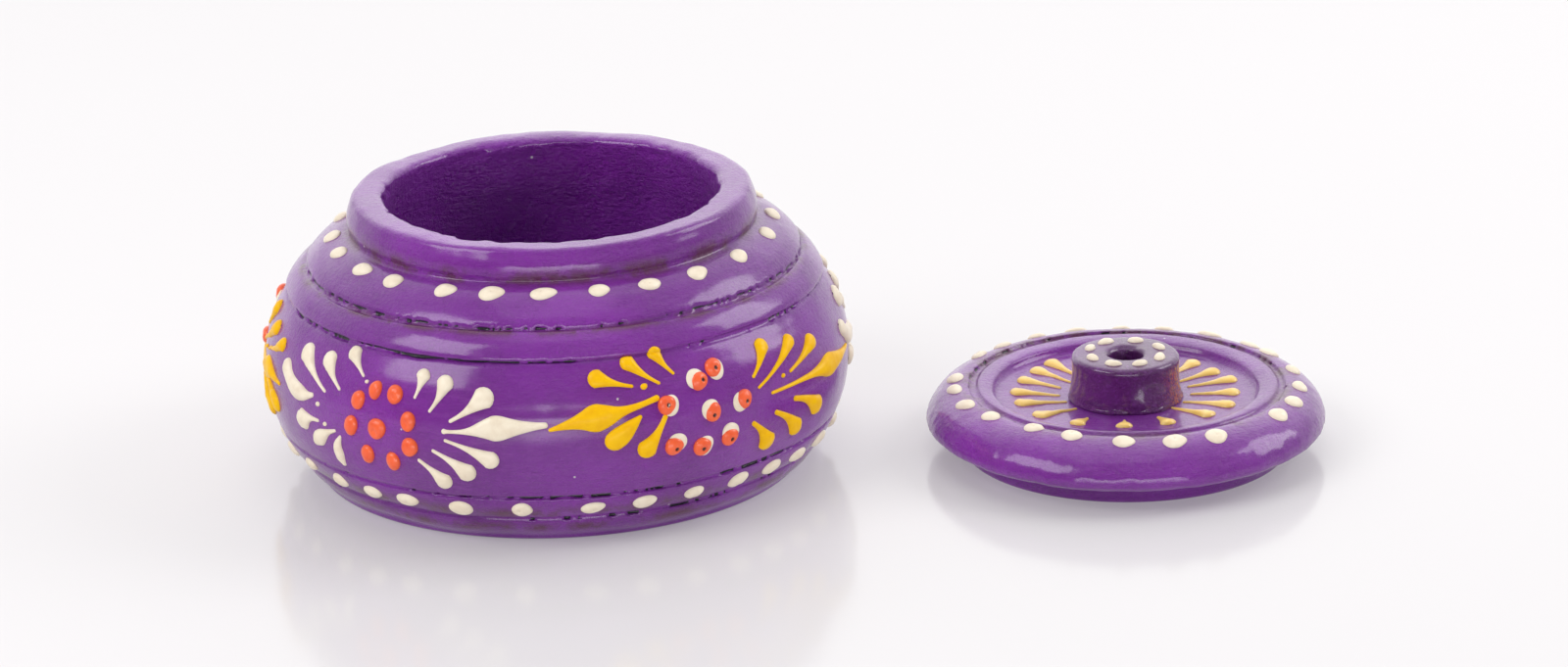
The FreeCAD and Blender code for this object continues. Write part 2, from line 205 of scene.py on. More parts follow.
def pot_section():
    """From the centre of the base, up the outside, over the rim and down inside to the floor."""
    low, top = belly_at(BELLY_LOW_Z), belly_at(BELLY_TOP_Z)
    s = Section((0, 0))
    s.line_to((BASE_R - 1.0, 0), COARSE * 3)
    s.arc_to((BASE_R + 0.5, 1.0), 0.35, FINE)
    s.arc_to(FOOT_TOP, 0.5)
    s.groove_to(BEAD_LOW, "groove 4", 0.4)
    s.arc_to(BEAD_TOP, 0.35)
    s.groove_to(low, "groove 3", 0.4)
    s.arc_to(top, sagitta(low, top, BELLY_CURVE))
    s.groove_to(RIDGE_LOW, "groove 2", 0.4)
    s.arc_to(RIDGE_TOP, 0.42, MEDIUM * 0.7)
    s.groove_to(SHOULDER_LOW, "groove 1", 0.4)
    s.arc_to(SHOULDER_TOP, 1.0)
    s.mark("neck foot")
    s.arc_to((NECK_R + 0.1, SHOULDER_TOP[1] + 0.9), -0.2, FINE)
    s.arc_to((RIM_R + 0.2, POT_TOP - 1.1), 0.4)
    s.mark("rim outside")
    s.arc_to((RIM_R - 1.0, POT_TOP), 0.32, FINE * 1.5)
    s.line_to((MOUTH_R + 0.5, POT_TOP))
    s.arc_to((MOUTH_R, POT_TOP - 0.7), 0.18, FINE * 1.5)
    s.mark("rim inside")
    s.line_to((MOUTH_R, NECK_INSIDE_Z), MEDIUM)
    s.line_to(WELL_SIDE, MEDIUM * 2)
    s.arc_to(WELL_FLOOR, -WELL_ROUND, MEDIUM * 2)
    s.line_to((0, WELL_FLOOR[1]), COARSE)
    return s


def lid_section():
    """From the foot of the hole, out under the lid, round the lip and in across the top."""
    s = Section((HOLE_R, 0))
    s.line_to((SPIGOT_R - 0.9, 0), COARSE)
    s.arc_to((SPIGOT_R, 0.8), 0.25, FINE)
    s.line_to((SPIGOT_R + 0.1, SPIGOT_H - 0.3), FINE * 2)
    s.arc_to((LIP_R, SPIGOT_H), -0.35, FINE * 1.5)
    s.arc_to((LID_R, LIP_Z), LIP_UNDER, FINE * 2)
    s.mark("lip side")
    lip_top = (LID_R - LIP_ROUND, LIP_Z + LIP_ROUND)
    s.arc_to(lip_top, LIP_ROUND * (1 - math.sqrt(0.5)), MEDIUM * 0.8)
    s.groove_to(RING, "lid groove", 0.6)
    s.arc_to((PANEL[0] + 1.0, RING[1] - 0.35), 0.15, MEDIUM * 0.8)
    s.arc_to((PANEL[0] - 0.2, PANEL[1]), -0.25, FINE)
    s.mark("panel edge")
    s.line_to((KNOB_FOOT_R, KNOB_SEAT_Z))
    s.line_to((HOLE_R, KNOB_SEAT_Z), COARSE)
    s.line_to((HOLE_R, 0.4), COARSE)
    return s


def knob_section():
    s = Section((HOLE_R - 0.2, KNOB_SEAT_Z + 0.1))
    s.line_to((KNOB_FOOT_R, KNOB_SEAT_Z - 0.15), COARSE)
    s.arc_to((KNOB_R + 0.1, KNOB_SEAT_Z + 1.5), -0.3, FINE * 1.5)
    s.arc_to((KNOB_R, KNOB_TOP - 1.1), -0.15, MEDIUM * 0.6)
    s.arc_to((KNOB_R - 1.0, KNOB_TOP - 0.15), 0.3, FINE)
    s.arc_to((HOLE_R + 0.7, KNOB_TOP - 0.1), 0.1, MEDIUM * 0.6)
    s.arc_to((HOLE_R - 0.1, KNOB_TOP - 1.0), 0.25, FINE)
    s.line_to((HOLE_R - 0.1, KNOB_SEAT_Z + 0.3), MEDIUM)
    return s


# --- turned surfaces -----------------------------------------------------------------------
def no_shift(azimuth, radius, height):
    return 0.0


class Turned:
    """A turned surface: a softened section about an upright axis, with hand-made unevenness."""

    def __init__(self, section, centre, relief, shift=no_shift, passes=2):
        self.marks = section.marks
        self.points = section.softened(passes)
        steps = np.linalg.norm(np.diff(self.points, axis=0), axis=1)
        scale = section.length / steps.sum()
        self.along = np.concatenate([[0], np.cumsum(steps)]) * scale
        slope = np.gradient(self.points, axis=0)
        self.normals = np.stack([slope[:, 1], -slope[:, 0]], 1)
        self.normals /= np.linalg.norm(self.normals, axis=1)[:, None]
        self.centre = centre
        self.relief = relief
        self.shift = shift

    def section_at(self, along):
        place = [np.interp(along, self.along, self.points[:, k]) for k in (0, 1)]
        normal = [np.interp(along, self.along, self.normals[:, k]) for k in (0, 1)]
        return place, normal

    def at(self, azimuth, along, lift=0.0):
        """Places in mm, lifted off the uneven surface along its smooth normal."""
        azimuth, along = np.broadcast_arrays(np.asarray(azimuth, float), along)
        (radius, height), (out, up) = self.section_at(along)
        smooth = np.stack([radius * np.sin(azimuth), -radius * np.cos(azimuth), height], -1)
        rise = self.relief(self, azimuth, along, smooth) + lift
        radius = np.maximum(radius + out * rise + self.shift(azimuth, radius, height), 0)
        x = self.centre[0] + radius * np.sin(azimuth)
        y = self.centre[1] - radius * np.cos(azimuth)
        return np.stack([x, y, height + up * rise], -1)

    def nearest_along(self, radius, height, low=0.0, high=1e9):
        """How far along the section the point nearest to (radius, height) is."""
        inside = (self.along >= low) & (self.along <= high)
        gap = np.hypot(self.points[:, 0] - radius, self.points[:, 1] - height)
        return float(self.along[np.where(inside, gap, 1e9).argmin()])


LARGE_LUMPS, SMALL_LUMPS, GRIT, DASHES, TURNING = (Noise(seed) for seed in (11, 12, 13, 14, 15))


def turning_marks(azimuth, along):
    """Fine ridges that run round the axis, left by the potter's fingers."""
    return TURNING(np.stack([3 * np.sin(azimuth), 3 * np.cos(azimuth), along], -1), 1.6)


def around(azimuth, radius, height):
    """Places on a circle, for noise that runs along it."""
    level = np.zeros_like(azimuth) + height
    return np.stack([radius * np.sin(azimuth), radius * np.cos(azimuth), level], -1)


def dashes(azimuth, radius, number, share):
    """How broken a groove's dark line is, from 0 where it is filled with paint to 1."""
    circle = around(azimuth, radius, 40.0 * number)
    broken = DASHES(circle, 1.0) + 0.6 * DASHES(circle + 9, 0.5) + 0.7 * LARGE_LUMPS(circle, 13.0)
    return smooth_step(0.1, 0.35, broken + share)


def groove_line(surface, azimuth, along, name, radius, number, share):
    """The broken dark line at the bottom of a groove: ragged, and never quite straight."""
    circle = around(azimuth, radius, 55.0 * number)
    middle = surface.marks[name] + 0.16 * SMALL_LUMPS(circle, 3.0)
    width = 0.26 + 0.11 * GRIT(circle, 1.4)
    return hump(along, middle, width) * dashes(azimuth, radius, number, share)


# How far each groove's line is broken at these azimuths, in degrees
GROOVE_AZIMUTHS = (-180, -100, -40, -8, 8, 30, 40, 75, 95, 180)
POT_GROOVES = {"groove 1": (0.1, 0.5, 0.55, 0.4, -0.7, -0.7, 0.5, 0.4, 0.1, 0.1),
               "groove 2": (0.1, 0.4, 0.6, 0.6, 0.1, -0.1, -0.4, -0.6, -0.5, 0.1),
               "groove 3": (0.1, -0.4, -0.5, 0.35, 0.0, 0.2, 0.1, -0.3, -0.5, 0.1),
               "groove 4": (-0.5, -0.8, -0.8, -0.8, -0.6, 0.1, 0.0, -0.8, -0.8, -0.5)}


def pot_dashes(surface, azimuth, along):
    mask = np.zeros_like(along)
    for number, (name, shares) in enumerate(POT_GROOVES.items()):
        wrapped_degrees = (np.degrees(azimuth) + 180) % 360 - 180
        share = np.interp(wrapped_degrees, GROOVE_AZIMUTHS, shares)
        mask = np.maximum(mask, groove_line(surface, azimuth, along, name, 45.0, number, share))
    return mask


def pushed_up(surface, azimuth, along, names):
    """The low lip of clay that the tool pushed up above each groove."""
    rise = np.zeros_like(along)
    for number, name in enumerate(names):
        uneven = 0.6 + 0.6 * SMALL_LUMPS(around(azimuth, 45.0, 25.0 * number), 5.0)
        rise += 0.1 * uneven * hump(along, surface.marks[name] + 0.8, 0.3)
    return rise


def pot_relief(surface, azimuth, along, smooth):
    """How far the pot's surface stands off its smooth form, in mm."""
    rim = hump(along, (surface.marks["rim outside"] + surface.marks["rim inside"]) / 2, 5.0)
    lip = hump(along, surface.marks["rim inside"] - 0.4, 1.0)
    inside = smooth_step(surface.marks["rim inside"], surface.marks["rim inside"] + 8, along)
    rise = (0.42 - 0.2 * rim) * LARGE_LUMPS(smooth, 27.0) + 0.13 * SMALL_LUMPS(smooth, 8.0)
    rise += (0.03 + 0.04 * rim) * GRIT(smooth, 2.4)
    rise += 0.07 * turning_marks(azimuth, along)
    rise += rim * (0.2 * SMALL_LUMPS(smooth + 50, 7.0) + 0.4 * (1 - np.cos(azimuth)))
    chipped = 0.7 + 0.9 * hump(np.sin(azimuth + 0.45), 0.0, 0.6) * (np.cos(azimuth) > 0)
    rise -= lip * chipped * np.maximum(GRIT(smooth + 9, 2.2) - 0.05, 0)
    rise += inside * 0.5 * SMALL_LUMPS(smooth * (1, 1, 0.35) + 90, 5.0)
    rise += pushed_up(surface, azimuth, along, POT_GROOVES)
    rise -= 0.5 * pot_dashes(surface, azimuth, along)
    on_table = smooth_step(0.2, 1.5, smooth[..., 2])
    return rise * on_table


def lid_dashes(surface, azimuth, along):
    front_left = hump((azimuth + np.pi) % (2 * np.pi), np.pi - 1.0, 0.45)
    return groove_line(surface, azimuth, along, "lid groove", 27.0, 7, 0.9 * front_left - 0.5)


def lid_relief(surface, azimuth, along, smooth):
    lip = hump(along, surface.marks["lip side"], 6.0)
    rise = 0.22 * LARGE_LUMPS(smooth + 30, 22.0) + 0.09 * SMALL_LUMPS(smooth, 6.0)
    rise += (0.03 + 0.03 * lip) * GRIT(smooth, 1.9) + 0.06 * turning_marks(azimuth, along + 70)
    rise += 0.05 * lip * GRIT(smooth + 33, 0.8)
    rise -= 0.35 * lid_dashes(surface, azimuth, along)
    return rise * smooth_step(0.2, 1.5, smooth[..., 2])


def lid_shift(azimuth, radius, height):
    """The groove was turned off centre: at the front it lies nearer to the knob."""
    top = smooth_step(LIP_Z, LIP_Z + 3, height)
    share = np.interp(radius, (PANEL[0] - 8, PANEL[0], RING[0], LID_R), (0, 0.2, 1, 0))
    return -top * share * (1.3 + 1.3 * np.cos(azimuth + 0.3))


def knob_relief(surface, azimuth, along, smooth):
    foot = smooth_step(KNOB_SEAT_Z + 2.2, KNOB_SEAT_Z, smooth[..., 2])
    low = smooth_step(KNOB_SEAT_Z + 6, KNOB_SEAT_Z + 1.5, smooth[..., 2])
    smear = hump(azimuth % (2 * np.pi), 0.45, 0.4) * low
    rise = 0.12 * SMALL_LUMPS(smooth + 20, 5.0) + 0.05 * GRIT(smooth, 1.6)
    rise += foot * (0.25 + 0.5 * SMALL_LUMPS(smooth + 80, 3.5)) + 0.6 * smear
    hole = smooth_step(HOLE_R + 1.2, HOLE_R, np.hypot(smooth[..., 0], smooth[..., 1]))
    return rise + hole * 0.45 * SMALL_LUMPS(smooth + 5, 2.2)


# --- meshes --------------------------------------------------------------------------------
class Mesh:
    """Vertices, faces and named values at the vertices, gathered piece by piece."""

    def __init__(self):
        self.vertices, self.faces, self.values, self.count = [], [], {}, 0

    def add_grid(self, places, wrap, values, close_rows=False):
        """A grid of places (rows, columns, 3) in mm, joined round its columns if wrap."""
        rows, columns = places.shape[:2]
        index = self.count + np.arange(rows * columns).reshape(rows, columns)
        if wrap:
            index = np.hstack([index, index[:, :1]])
        if close_rows:
            index = np.vstack([index, index[:1]])
        quads = np.stack([index[:-1, :-1], index[:-1, 1:], index[1:, 1:], index[1:, :-1]], -1)
        self.faces.extend(quads.reshape(-1, 4).tolist())
        self.vertices.append(places.reshape(-1, 3))
        for name, value in values.items():
            self.values.setdefault(name, []).append(value.reshape(rows * columns, -1))
        self.count += rows * columns
        return index

    def add_point(self, place, values):
        self.vertices.append(np.reshape(place, (1, 3)))
        for name, value in values.items():
            self.values.setdefault(name, []).append(np.reshape(value, (1, -1)))
        self.count += 1
        return self.count - 1

    def add_fan(self, ring, tip, flip):
        for a, b in zip(ring[:-1].tolist(), ring[1:].tolist()):
            self.faces.append((a, tip, b) if flip else (a, b, tip))

    def make(self, name, material):
        data = bpy.data.meshes.new(name)
        data.from_pydata((np.vstack(self.vertices) * MM).tolist(), [], self.faces)
        for key, parts in self.values.items():
            value = np.vstack(parts)
            kind = "FLOAT" if value.shape[1] == 1 else "FLOAT_VECTOR"
            attribute = data.attributes.new(key, kind, "POINT")
            attribute.data.foreach_set("value" if kind == "FLOAT" else "vector", value.ravel())
        data.polygons.foreach_set("use_smooth", np.ones(len(data.polygons), bool))
        data.materials.append(material)
        data.update()
        obj = bpy.data.objects.new(name, data)
        bpy.context.scene.collection.objects.link(obj)
        return obj


def turned_object(name, surface, segments, material, masks, closed):
    """The mesh of a turned surface. Its section starts and ends on the axis, or is closed."""
    azimuth = np.linspace(0, 2 * np.pi, segments, endpoint=False)[None, :]
    along = surface.along[:, None] if closed else surface.along[1:-1, None]
    azimuth, along = np.broadcast_arrays(azimuth, along)
    values = {"turning": np.stack([10 * np.sin(azimuth), 10 * np.cos(azimuth), along], -1)}
    for key, mask in masks.items():
        values[key] = mask(surface, azimuth, along)
    mesh = Mesh()
    index = mesh.add_grid(surface.at(azimuth, along), True, values, close_rows=closed)
    if not closed:
        for row, end, flip in ((0, 0, True), (-1, -1, False)):
            ends = {key: value[row, 0] for key, value in values.items()}
            tip = mesh.add_point(surface.at(0.0, surface.along[end]), ends)
            mesh.add_fan(index[row], tip, flip)
    return mesh.make(name, material)


# --- piped paint ---------------------------------------------------------------------------
EDGE_SUNK = 0.15   # the edge of a stroke lies this far under the surface, mm
ACROSS = 10        # faces across a stroke
DOT_RINGS = 9
DOT_SEGMENTS = 30


def chaikin(points, rounds=3):
    """Control points worked into a smooth line by cutting its corners, ends kept."""
    points = np.array(points, float)
    for _ in range(rounds):
        a, b = points[:-1], points[1:]
        cut = np.stack([0.75 * a + 0.25 * b, 0.25 * a + 0.75 * b], 1).reshape(-1, points.shape[1])
        points = np.vstack([points[:1], cut, points[-1:]])
    return points


class Painter:
    """Pipes strokes and dots of one colour on a surface. A stroke is drawn in (right, up)
    from a home on the surface, in mm, and up is +1 or -1 times the way along the section."""

    def __init__(self, surface, up, seed):
        self.surface, self.up = surface, up
        self.mesh = Mesh()
        self.noise = Noise(seed)
        self.number = 0

    def _place(self, home, right, up, lift):
        azimuth, along = home
        (radius, _), _ = self.surface.section_at(along)
        return self.surface.at(azimuth + right / radius, along + self.up * up, lift)

    def _lift(self, dome, height, right, up):
        """The height of wet paint: a dome with a slightly flat, uneven top and a sunk edge."""
        self.number += 1
        spot = np.stack([right, up, np.full_like(right, 7.0 * self.number)], -1)
        uneven = 1 + 0.10 * self.noise(spot, 1.1) + 0.05 * self.noise(spot, 0.5)
        return height * dome ** 0.75 * uneven - EDGE_SUNK * (1 - dome)

    def stroke(self, home, spine, height):
        """One stroke along a spine of (right, up, half width) points, with round ends."""
        line = chaikin(spine)
        ways = np.gradient(line[:, :2], axis=0)
        ways /= np.maximum(np.linalg.norm(ways, axis=1), 1e-9)[:, None]
        caps = np.radians([80, 62, 42, 20])
        first, last = line[0], line[-1]
        start, end = ways[0], ways[-1]
        rows = [(first[:2] - start * first[2] * math.sin(a), start, first[2] * math.cos(a), first[2])
                for a in caps]
        rows += [(p[:2], way, p[2], p[2]) for p, way in zip(line, ways)]
        rows += [(last[:2] + end * last[2] * math.sin(a), end, last[2] * math.cos(a), last[2])
                 for a in caps[::-1]]
        side = np.sin(np.linspace(-np.pi / 2, np.pi / 2, ACROSS + 1))
        right, up, dome, crest = [], [], [], []
        for centre, way, width, full in rows:
            right.append(centre[0] - way[1] * width * side)
            up.append(centre[1] + way[0] * width * side)
            reach = (width / full) ** 2
            dome.append(np.sqrt(np.maximum(reach - side * side * reach, 0)))
            crest.append(np.full_like(side, min(height, 0.62 * full + 0.08)))
        right, up, dome, crest = map(np.array, (right, up, dome, crest))
        lift = self._lift(dome, crest, right, up)
        places = self._place(home, right, up, lift)
        zero = np.zeros_like(right)
        self.mesh.add_grid(places[:, ::-1] if self.up > 0 else places, False, {"pit": zero})

    def dot(self, home, size, turn, height, pit=None, at=(0.0, 0.0), point=0.0):
        """An oval dot. pit is (right, up, radius, depth, darkness) of a burst bubble; point draws
        one end out a little, as where the cone was pulled away."""
        reach = np.sin(np.linspace(0, np.pi / 2, DOT_RINGS + 1))[1:, None]
        angle = np.linspace(0, 2 * np.pi, DOT_SEGMENTS, endpoint=False)[None, :]
        wave = 1 + 0.05 * np.sin(2 * angle + 5 * turn) + 0.03 * np.sin(3 * angle + 9 * turn)
        x = size[0] * reach * np.cos(angle) * wave
        y = size[1] * reach * np.sin(angle) * wave
        x = x + point * np.maximum(np.cos(angle), 0) ** 4 * reach
        right = at[0] + x * math.cos(turn) - y * math.sin(turn)
        up = at[1] + x * math.sin(turn) + y * math.cos(turn)
        dome = np.sqrt(np.maximum(1 - reach * reach, 0)) * np.ones_like(x)
        lift = self._lift(dome, height, right, up)
        mask = np.zeros_like(x)
        centre_lift, centre_mask = height, 0.0
        if pit:
            gap = np.hypot(x - pit[0], y - pit[1])
            hole = np.exp(-((gap / pit[2]) ** 4))
            centre_hole = math.exp(-((math.hypot(pit[0], pit[1]) / pit[2]) ** 4))
            lift = lift - pit[3] * hole
            centre_lift -= pit[3] * centre_hole
            mask, centre_mask = hole * pit[4], centre_hole * pit[4]
        places = self._place(home, right, up, lift)
        if self.up < 0:
            places, mask = places[:, ::-1], mask[:, ::-1]
        index = self.mesh.add_grid(places, True, {"pit": mask})
        tip = self._place(home, np.array(at[0]), np.array(at[1]), np.array(centre_lift))
        self.mesh.add_fan(index[0], self.mesh.add_point(tip, {"pit": centre_mask}), True)

    def finish(self, name, material, node, body, slot):
        obj = self.mesh.make(name, material)
        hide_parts(node)
        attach(obj, body)


def islands(node):
    """The middles, in mm, of the separate solids of a CAD node."""
    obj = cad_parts[node]
    places = np.array([v.co for v in obj.data.vertices]) / MM
    keys = {tuple(k): i for i, k in enumerate(np.unique(places.round(3), axis=0))}
    which = np.array([keys[tuple(p)] for p in places.round(3)])
    parent = list(range(len(keys)))

    def root(i):
        while parent[i] != i:
            parent[i] = parent[parent[i]]
            i = parent[i]
        return i

    for edge in obj.data.edges:
        a, b = (root(which[v]) for v in edge.vertices)
        parent[a] = b
    roots = np.array([root(i) for i in which])
    return [places[roots == r].mean(0) for r in sorted(set(roots.tolist()))]


def polar(place, centre):
    """(azimuth, radius) of a place about a centre, in radians and mm."""
    x, y = place[0] - centre[0], place[1] - centre[1]
    return math.atan2(x, -y), math.hypot(x, y)


# --- materials -----------------------------------------------------------------------------
class Nodes:
    """A short way to write a node tree."""

    def __init__(self, tree):
        self.tree = tree

    def node(self, kind, inputs=None, **settings):
        made = self.tree.nodes.new(kind)
        for key, value in settings.items():
            setattr(made, key, value)
        for key, value in (inputs or {}).items():
            self.set(made.inputs[key], value)
        return made

    def set(self, socket, value):
        if isinstance(value, bpy.types.NodeSocket):
            self.tree.links.new(value, socket)
        else:
            socket.default_value = value

    def ramp(self, value, low, high, start=0.0, end=1.0):
        inputs = {"Value": value, "From Min": low, "From Max": high, "To Min": start, "To Max": end}
        return self.node("ShaderNodeMapRange", inputs).outputs["Result"]

    def math(self, operation, a, b=0.0):
        made = self.node("ShaderNodeMath", operation=operation)
        self.set(made.inputs[0], a)
        self.set(made.inputs[1], b)
        return made.outputs[0]


class Shader(Nodes):
    """The nodes of a material."""

    def __init__(self, name):
        self.material = bpy.data.materials.new(name)
        self.material.use_nodes = True
        super().__init__(self.material.node_tree)
        self.surface = self.tree.nodes["Principled BSDF"]

    def attribute(self, name, output="Fac"):
        return self.node("ShaderNodeAttribute", attribute_name=name).outputs[output]

    def coordinates(self):
        return self.node("ShaderNodeTexCoord").outputs["Object"]

    def noise(self, vector, scale, detail=3.0, roughness=0.5):
        inputs = {"Vector": vector, "Scale": scale, "Detail": detail, "Roughness": roughness}
        return self.node("ShaderNodeTexNoise", inputs).outputs["Fac"]

    def mix(self, share, a, b):
        made = self.node("ShaderNodeMix", data_type="RGBA")
        self.set(made.inputs["Factor"], share)
        self.set(made.inputs["A"], a)
        self.set(made.inputs["B"], b)
        return made.outputs["Result"]

    def bump(self, height, distance, strength):
        inputs = {"Height": height, "Distance": distance, "Strength": strength}
        return self.node("ShaderNodeBump", inputs).outputs["Normal"]

    def finish(self, **inputs):
        for key, value in inputs.items():
            self.set(self.surface.inputs[key.replace("_", " ").title().replace("Ior", "IOR")], value)
        return self.material


def rgb(red, green, blue):
    return (red, green, blue, 1.0)


VIOLET = rgb(0.285, 0.016, 0.450)
# The knob's violet and deep violet are darker than the pot's.
KNOB_VIOLET = rgb(0.165, 0.008, 0.235)
KNOB_DEEP_VIOLET = rgb(0.105, 0.005, 0.130)
DEEP_VIOLET = rgb(0.200, 0.008, 0.315)
PALE_VIOLET = rgb(0.300, 0.045, 0.430)
MAROON = rgb(0.120, 0.012, 0.060)
STAIN = rgb(0.750, 0.150, 0.020)
BARE_GROOVE = rgb(0.010, 0.004, 0.018)
SPECK = rgb(0.75, 0.66, 0.72)


def painted_clay(name, violet, deep_violet, varnish_roughness):
    """Violet paint brushed on turned clay, under a thin varnish."""
    s = Shader(name)
    where = s.coordinates()
    turning = s.attribute("turning", "Vector")
    patches = s.noise(where, 38.0, 4.0, 0.6)
    streaks = s.noise(turning, 1.3, 4.0, 0.65)
    colour = s.mix(s.ramp(patches, 0.38, 0.66), deep_violet, violet)
    colour = s.mix(s.ramp(streaks, 0.5, 0.8, 0.0, 0.6), colour, PALE_VIOLET)
    scuffs = s.ramp(s.noise(where, 260.0, 5.0, 0.75), 0.52, 0.72, 0.0, 0.35)
    colour = s.mix(scuffs, colour, deep_violet)
    # Maroon is mixed in along bands of the section: reddish smudges, and on the pot's foot a painted
    # shade.
    patchy = s.ramp(s.noise(where, 160.0, 5.0, 0.7), 0.42, 0.58)
    smudge_and_shade = s.math("MULTIPLY", s.attribute("smudge_and_shade"), patchy)
    colour = s.mix(s.math("MULTIPLY", smudge_and_shade, 0.9), colour, MAROON)
    cells = s.node("ShaderNodeTexVoronoi", {"Vector": where, "Scale": 150.0})
    specks = s.math("LESS_THAN", cells.outputs["Distance"], 0.035)
    rare = s.math("GREATER_THAN", s.noise(where, 60.0, 1.0), 0.52)
    colour = s.mix(s.math("MULTIPLY", specks, rare), colour, SPECK)
    stain = s.math("MULTIPLY", s.attribute("stain"), s.ramp(s.noise(turning, 3.0), 0.45, 0.6))
    colour = s.mix(stain, colour, STAIN)
    bare = s.ramp(s.attribute("dash"), 0.42, 0.6)
    colour = s.mix(bare, colour, BARE_GROOVE)
    gloss = s.ramp(s.noise(where, 90.0, 4.0, 0.6), 0.3, 0.7, 0.32, 0.5)
    gloss = s.math("SUBTRACT", gloss, s.math("MULTIPLY", s.attribute("wet"), 0.14))
    height = s.math("ADD", s.noise(turning, 2.4, 5.0, 0.7), s.noise(where, 1100.0, 3.0, 0.6))
    normal = s.bump(height, 0.0009, 0.9)
    s.set(s.surface.inputs["Normal"], normal)
    return s.finish(base_color=colour, roughness=gloss, specular_ior_level=0.4,
                    coat_weight=0.85, coat_roughness=varnish_roughness)


def piped_paint(name, colour, shade, pit_colour, shine, varnish):
    """Thick paint piped from a cone, with a skin that dried slightly uneven."""
    s = Shader(name)
    where = s.coordinates()
    patches = s.noise(where, 420.0, 3.0, 0.6)
    mixed = s.mix(s.ramp(patches, 0.42, 0.72), colour, shade)
    mixed = s.mix(s.ramp(s.attribute("pit"), 0.35, 0.75), mixed, pit_colour)
    normal = s.bump(s.noise(where, 1500.0, 3.0, 0.6), 0.0001, 0.5)
    s.set(s.surface.inputs["Normal"], normal)
    gloss = s.ramp(patches, 0.3, 0.7, 0.28, 0.42)
    return s.finish(base_color=mixed, roughness=gloss, specular_ior_level=shine,
                    coat_weight=varnish, coat_roughness=0.15)


def smudge_and_shade_bands(marks_and_widths):
    """Bands along the section where maroon is mixed in: reddish smudges, and on the pot's foot a painted
    shade.
    """
    def mask(surface, azimuth, along):
        total = np.zeros_like(along)
        for mark, shift, width in marks_and_widths:
            total = np.maximum(total, hump(along, surface.marks[mark] + shift, width))
        return total
    return mask


def knob_stain(surface, azimuth, along):
    """Orange paint that ran down the right side of the knob."""
    height = surface.section_at(along)[0][1]
    return hump(azimuth % (2 * np.pi), 1.2, 0.35) * smooth_step(KNOB_TOP - 0.5, KNOB_TOP - 2, height)


CLAY = painted_clay("violet_clay", VIOLET, DEEP_VIOLET, 0.15)
KNOB_CLAY = painted_clay("violet_knob", KNOB_VIOLET, KNOB_DEEP_VIOLET, 0.12)
CREAM = piped_paint("cream_piped", rgb(0.93, 0.83, 0.66), rgb(0.83, 0.71, 0.54), rgb(0.45, 0.33, 0.2),
                    0.3, 0.1)
YELLOW = piped_paint("yellow_piped", rgb(0.98, 0.56, 0.003), rgb(0.90, 0.46, 0.002),
                     rgb(0.3, 0.12, 0.01), 0.15, 0.05)
# The lid's strokes are a paler yellow than the belly's.
PALE_YELLOW = piped_paint("yellow_piped_pale", rgb(0.98, 0.68, 0.200), rgb(0.92, 0.58, 0.110),
                          rgb(0.3, 0.12, 0.01), 0.5, 0.3)
ORANGE = piped_paint("orange_piped", rgb(0.98, 0.145, 0.040), rgb(0.86, 0.100, 0.028),
                     rgb(0.05, 0.01, 0.01), 0.4, 0.3)


# --- the clay pieces -----------------------------------------------------------------------
pot_surface = Turned(pot_section(), POT_CENTRE, pot_relief)
lid_surface = Turned(lid_section(), LID_CENTRE, lid_relief, lid_shift)
knob_surface = Turned(knob_section(), LID_CENTRE, knob_relief)

# Maroon bands on the pot: smudges at the neck's foot, on the bead above groove 4 and under groove 1; the
# band just under groove 4 is a painted shade that darkens the foot.
POT_SMUDGES_AND_FOOT_SHADE = smudge_and_shade_bands([("neck foot", 0.4, 1.5), ("groove 4", 2.2, 1.6), ("groove 4", -2.0, 1.2),
                           ("groove 1", -1.0, 0.8)])
LID_SMUDGES = smudge_and_shade_bands([("lid groove", 0.0, 1.5)])


def well_wetness(surface, azimuth, along):
    """The pot is glossier inside."""
    return smooth_step(surface.marks["rim inside"], surface.marks["rim inside"] + 3, along)


def clay_object(name, surface, segments, material, masks, closed, node, body):
    obj = turned_object(name, surface, segments, material, masks, closed)
    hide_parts(node)
    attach(obj, body)


clay_object("pot", pot_surface, 720, CLAY,
            {"dash": pot_dashes, "smudge_and_shade": POT_SMUDGES_AND_FOOT_SHADE, "wet": well_wetness}, False, "pot_body", "pot")
clay_object("lid", lid_surface, 560, CLAY,
            {"dash": lid_dashes, "smudge_and_shade": LID_SMUDGES}, True, "lid_disc", "lid")
clay_object("knob", knob_surface, 220, KNOB_CLAY, {"stain": knob_stain}, True, "lid_knob", "lid")


# --- dots round the pot --------------------------------------------------------------------
chance = np.random.default_rng(5)
# How high the wet paint stands, mm
DOT_HEIGHT = 0.7
STROKE_HEIGHT = 0.8
BEAD_HEIGHT = 0.35
ORANGE_HEIGHT = 0.95
UNDER_HEIGHT = 0.55
OVER_HEIGHT = 1.0


def no_inward(azimuth):
    return 0.0


def lid_dots_inward(azimuth):
    """At the front left the lid's dots were piped on the groove itself, at the back further out."""
    degrees = math.degrees(azimuth)
    from_back = abs(degrees % 360 - 180)
    return 1.7 * math.exp(-(((degrees + 38) / 30) ** 2)) - 1.4 * math.exp(-((from_back / 50) ** 2))


